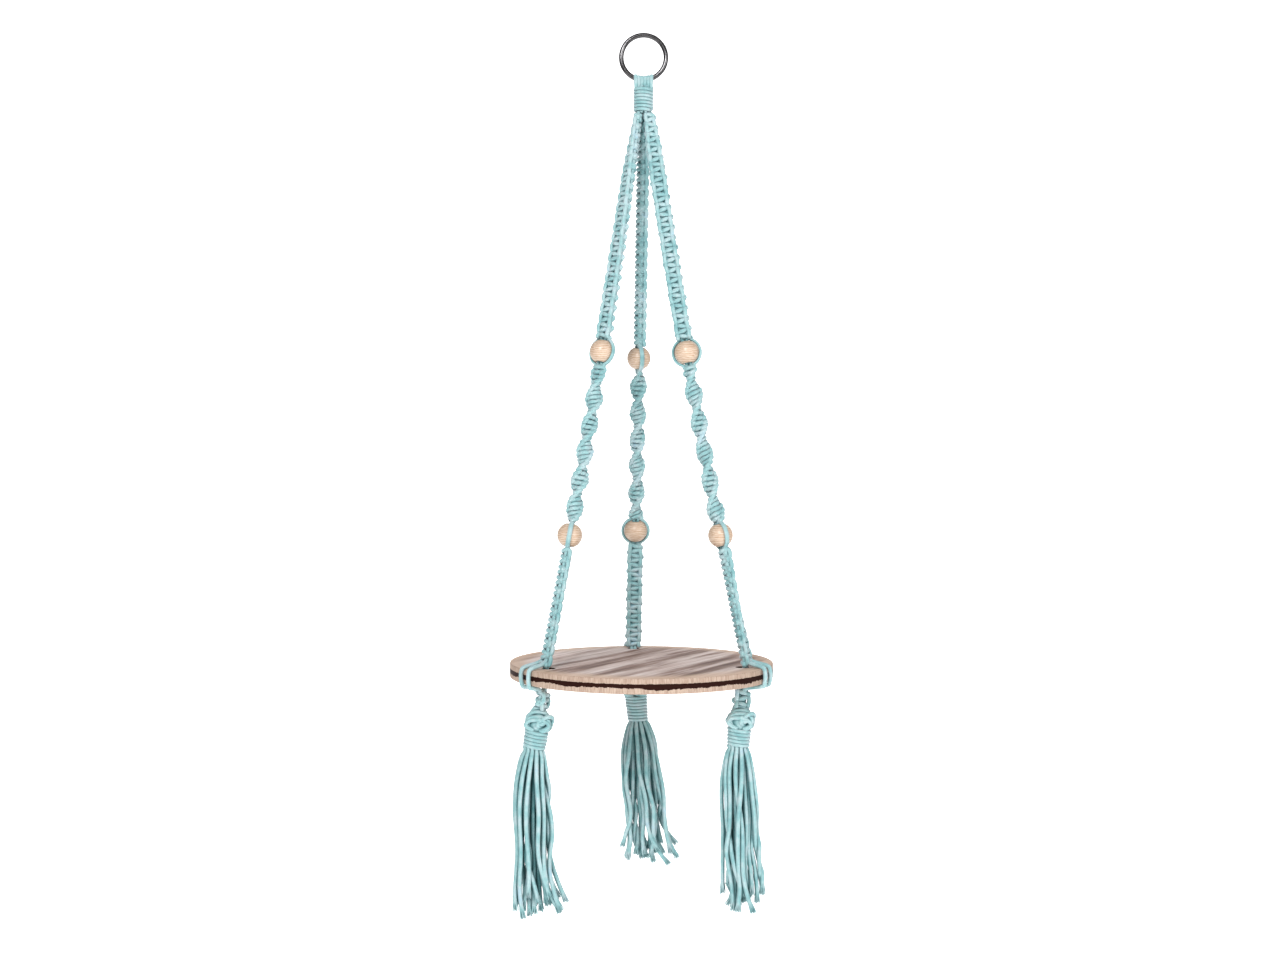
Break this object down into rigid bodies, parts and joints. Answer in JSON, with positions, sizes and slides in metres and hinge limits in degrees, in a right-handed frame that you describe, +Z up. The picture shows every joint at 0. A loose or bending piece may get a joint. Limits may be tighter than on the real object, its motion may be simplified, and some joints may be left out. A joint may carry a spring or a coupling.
{
  "type": "hanging macrame planter shelf",
  "caption": "Hanging plant shelf: a round wooden board carried from a steel ring by knotted cotton arms with wooden beads, with a cord tassel under each arm.",
  "frame": {"origin": "top of the ring's eye, where a hook carries the planter", "axes": "+Z up, the ring faces along Y, and -Y is the front, with the left and right arms nearer to it than the back arm"},
  "size_m": [0.27, 0.2746, 0.8879],
  "materials": {
    "steel": "polished dark nickel",
    "cotton_cord": "matt aqua cotton",
    "bead_wood": "pale wood, light satin",
    "shelf_wood": "greyed wood, matt"
  },
  "bodies": {
    "ring": {"ring": "steel"},
    "loops": {"cord_loops": "cotton_cord"},
    "head": {"top_wrap": "cotton_cord"},
    "hanger": {"shelf": "shelf_wood", "left_upper_sennit": "cotton_cord", "left_spiral_sennit": "cotton_cord", "left_lower_sennit": "cotton_cord", "left_rim_cord_a": "cotton_cord", "left_rim_cord_b": "cotton_cord", "left_hole_cords": "cotton_cord", "left_upper_bead_fillers": "cotton_cord", "left_upper_side_cord_a": "cotton_cord", "left_upper_side_cord_b": "cotton_cord", "left_lower_bead_fillers": "cotton_cord", "left_lower_side_cord_a": "cotton_cord", "left_lower_side_cord_b": "cotton_cord", "right_upper_sennit": "cotton_cord", "right_spiral_sennit": "cotton_cord", "right_lower_sennit": "cotton_cord", "right_rim_cord_a": "cotton_cord", "right_rim_cord_b": "cotton_cord", "right_hole_cords": "cotton_cord", "right_upper_bead_fillers": "cotton_cord", "right_upper_side_cord_a": "cotton_cord", "right_upper_side_cord_b": "cotton_cord", "right_lower_bead_fillers": "cotton_cord", "right_lower_side_cord_a": "cotton_cord", "right_lower_side_cord_b": "cotton_cord", "back_upper_sennit": "cotton_cord", "back_spiral_sennit": "cotton_cord", "back_lower_sennit": "cotton_cord", "back_rim_cord_a": "cotton_cord", "back_rim_cord_b": "cotton_cord", "back_hole_cords": "cotton_cord", "back_upper_bead_fillers": "cotton_cord", "back_upper_side_cord_a": "cotton_cord", "back_upper_side_cord_b": "cotton_cord", "back_lower_bead_fillers": "cotton_cord", "back_lower_side_cord_a": "cotton_cord", "back_lower_side_cord_b": "cotton_cord"},
    "left_upper_bead": {"left_upper_bead": "bead_wood"},
    "left_lower_bead": {"left_lower_bead": "bead_wood"},
    "left_neck": {"left_neck_knots": "cotton_cord"},
    "left_tassel": {"left_tassel_head": "cotton_cord", "left_tassel_wrap": "cotton_cord", "left_tassel_skirt": "cotton_cord"},
    "right_upper_bead": {"right_upper_bead": "bead_wood"},
    "right_lower_bead": {"right_lower_bead": "bead_wood"},
    "right_neck": {"right_neck_knots": "cotton_cord"},
    "right_tassel": {"right_tassel_head": "cotton_cord", "right_tassel_wrap": "cotton_cord", "right_tassel_skirt": "cotton_cord"},
    "back_upper_bead": {"back_upper_bead": "bead_wood"},
    "back_lower_bead": {"back_lower_bead": "bead_wood"},
    "back_neck": {"back_neck_knots": "cotton_cord"},
    "back_tassel": {"back_tassel_head": "cotton_cord", "back_tassel_wrap": "cotton_cord", "back_tassel_skirt": "cotton_cord"}
  },
  "joints": [
    {"name": "sideways_swing", "type": "hinge", "parent": "ring", "child": "loops", "pos_m": [0, 0, -0.0205], "axis": [0, 1, 0], "range_deg": [-45, 45]},
    {"name": "fore_aft_swing", "type": "hinge", "parent": "loops", "child": "head", "pos_m": [0, 0, -0.05], "axis": [1, 0, 0], "range_deg": [-30, 30]},
    {"name": "hanger_twist", "type": "hinge", "parent": "head", "child": "hanger", "pos_m": [0, 0, -0.0779], "axis": [0, 0, 1], "range_deg": [-90, 90]},
    {"name": "left_upper_bead_spin", "type": "hinge", "parent": "hanger", "child": "left_upper_bead", "pos_m": [-0.0409, -0.02811, -0.326], "axis": [0.1551, 0.1066, 0.9821], "continuous": true},
    {"name": "left_lower_bead_spin", "type": "hinge", "parent": "hanger", "child": "left_lower_bead", "pos_m": [-0.07192, -0.04943, -0.5107], "axis": [0.174, 0.1196, 0.9775], "continuous": true},
    {"name": "left_neck_swing", "type": "hinge", "parent": "hanger", "child": "left_neck", "pos_m": [-0.09642, -0.06627, -0.662], "axis": [0.5664, -0.8241, 0], "range_deg": [-20, 20]},
    {"name": "left_tassel_swing", "type": "hinge", "parent": "left_neck", "child": "left_tassel", "pos_m": [-0.09896, -0.06627, -0.678], "axis": [-0.8241, -0.5664, 0], "range_deg": [-20, 20]},
    {"name": "right_upper_bead_spin", "type": "hinge", "parent": "hanger", "child": "right_upper_bead", "pos_m": [0.04479, -0.02136, -0.326], "axis": [-0.1699, 0.081, 0.9821], "continuous": true},
    {"name": "right_lower_bead_spin", "type": "hinge", "parent": "hanger", "child": "right_lower_bead", "pos_m": [0.07877, -0.03757, -0.5107], "axis": [-0.1905, 0.0909, 0.9775], "continuous": true},
    {"name": "right_neck_swing", "type": "hinge", "parent": "hanger", "child": "right_neck", "pos_m": [0.10019, -0.04779, -0.662], "axis": [0.4305, 0.9026, 0], "range_deg": [-20, 20]},
    {"name": "right_tassel_swing", "type": "hinge", "parent": "right_neck", "child": "right_tassel", "pos_m": [0.0992, -0.04779, -0.67817], "axis": [0.9026, -0.4305, 0], "range_deg": [-20, 20]},
    {"name": "back_upper_bead_spin", "type": "hinge", "parent": "hanger", "child": "back_upper_bead", "pos_m": [-0.00389, 0.04947, -0.326], "axis": [0.0148, -0.1876, 0.9821], "continuous": true},
    {"name": "back_lower_bead_spin", "type": "hinge", "parent": "hanger", "child": "back_lower_bead", "pos_m": [-0.00685, 0.087, -0.5107], "axis": [0.0166, -0.2104, 0.9775], "continuous": true},
    {"name": "back_neck_swing", "type": "hinge", "parent": "hanger", "child": "back_neck", "pos_m": [-0.00871, 0.11066, -0.662], "axis": [-0.9969, -0.0785, 0], "range_deg": [-20, 20]},
    {"name": "back_tassel_swing", "type": "hinge", "parent": "back_neck", "child": "back_tassel", "pos_m": [-0.0073, 0.11066, -0.67814], "axis": [-0.0785, 0.9969, 0], "range_deg": [-20, 20]}
  ]
}
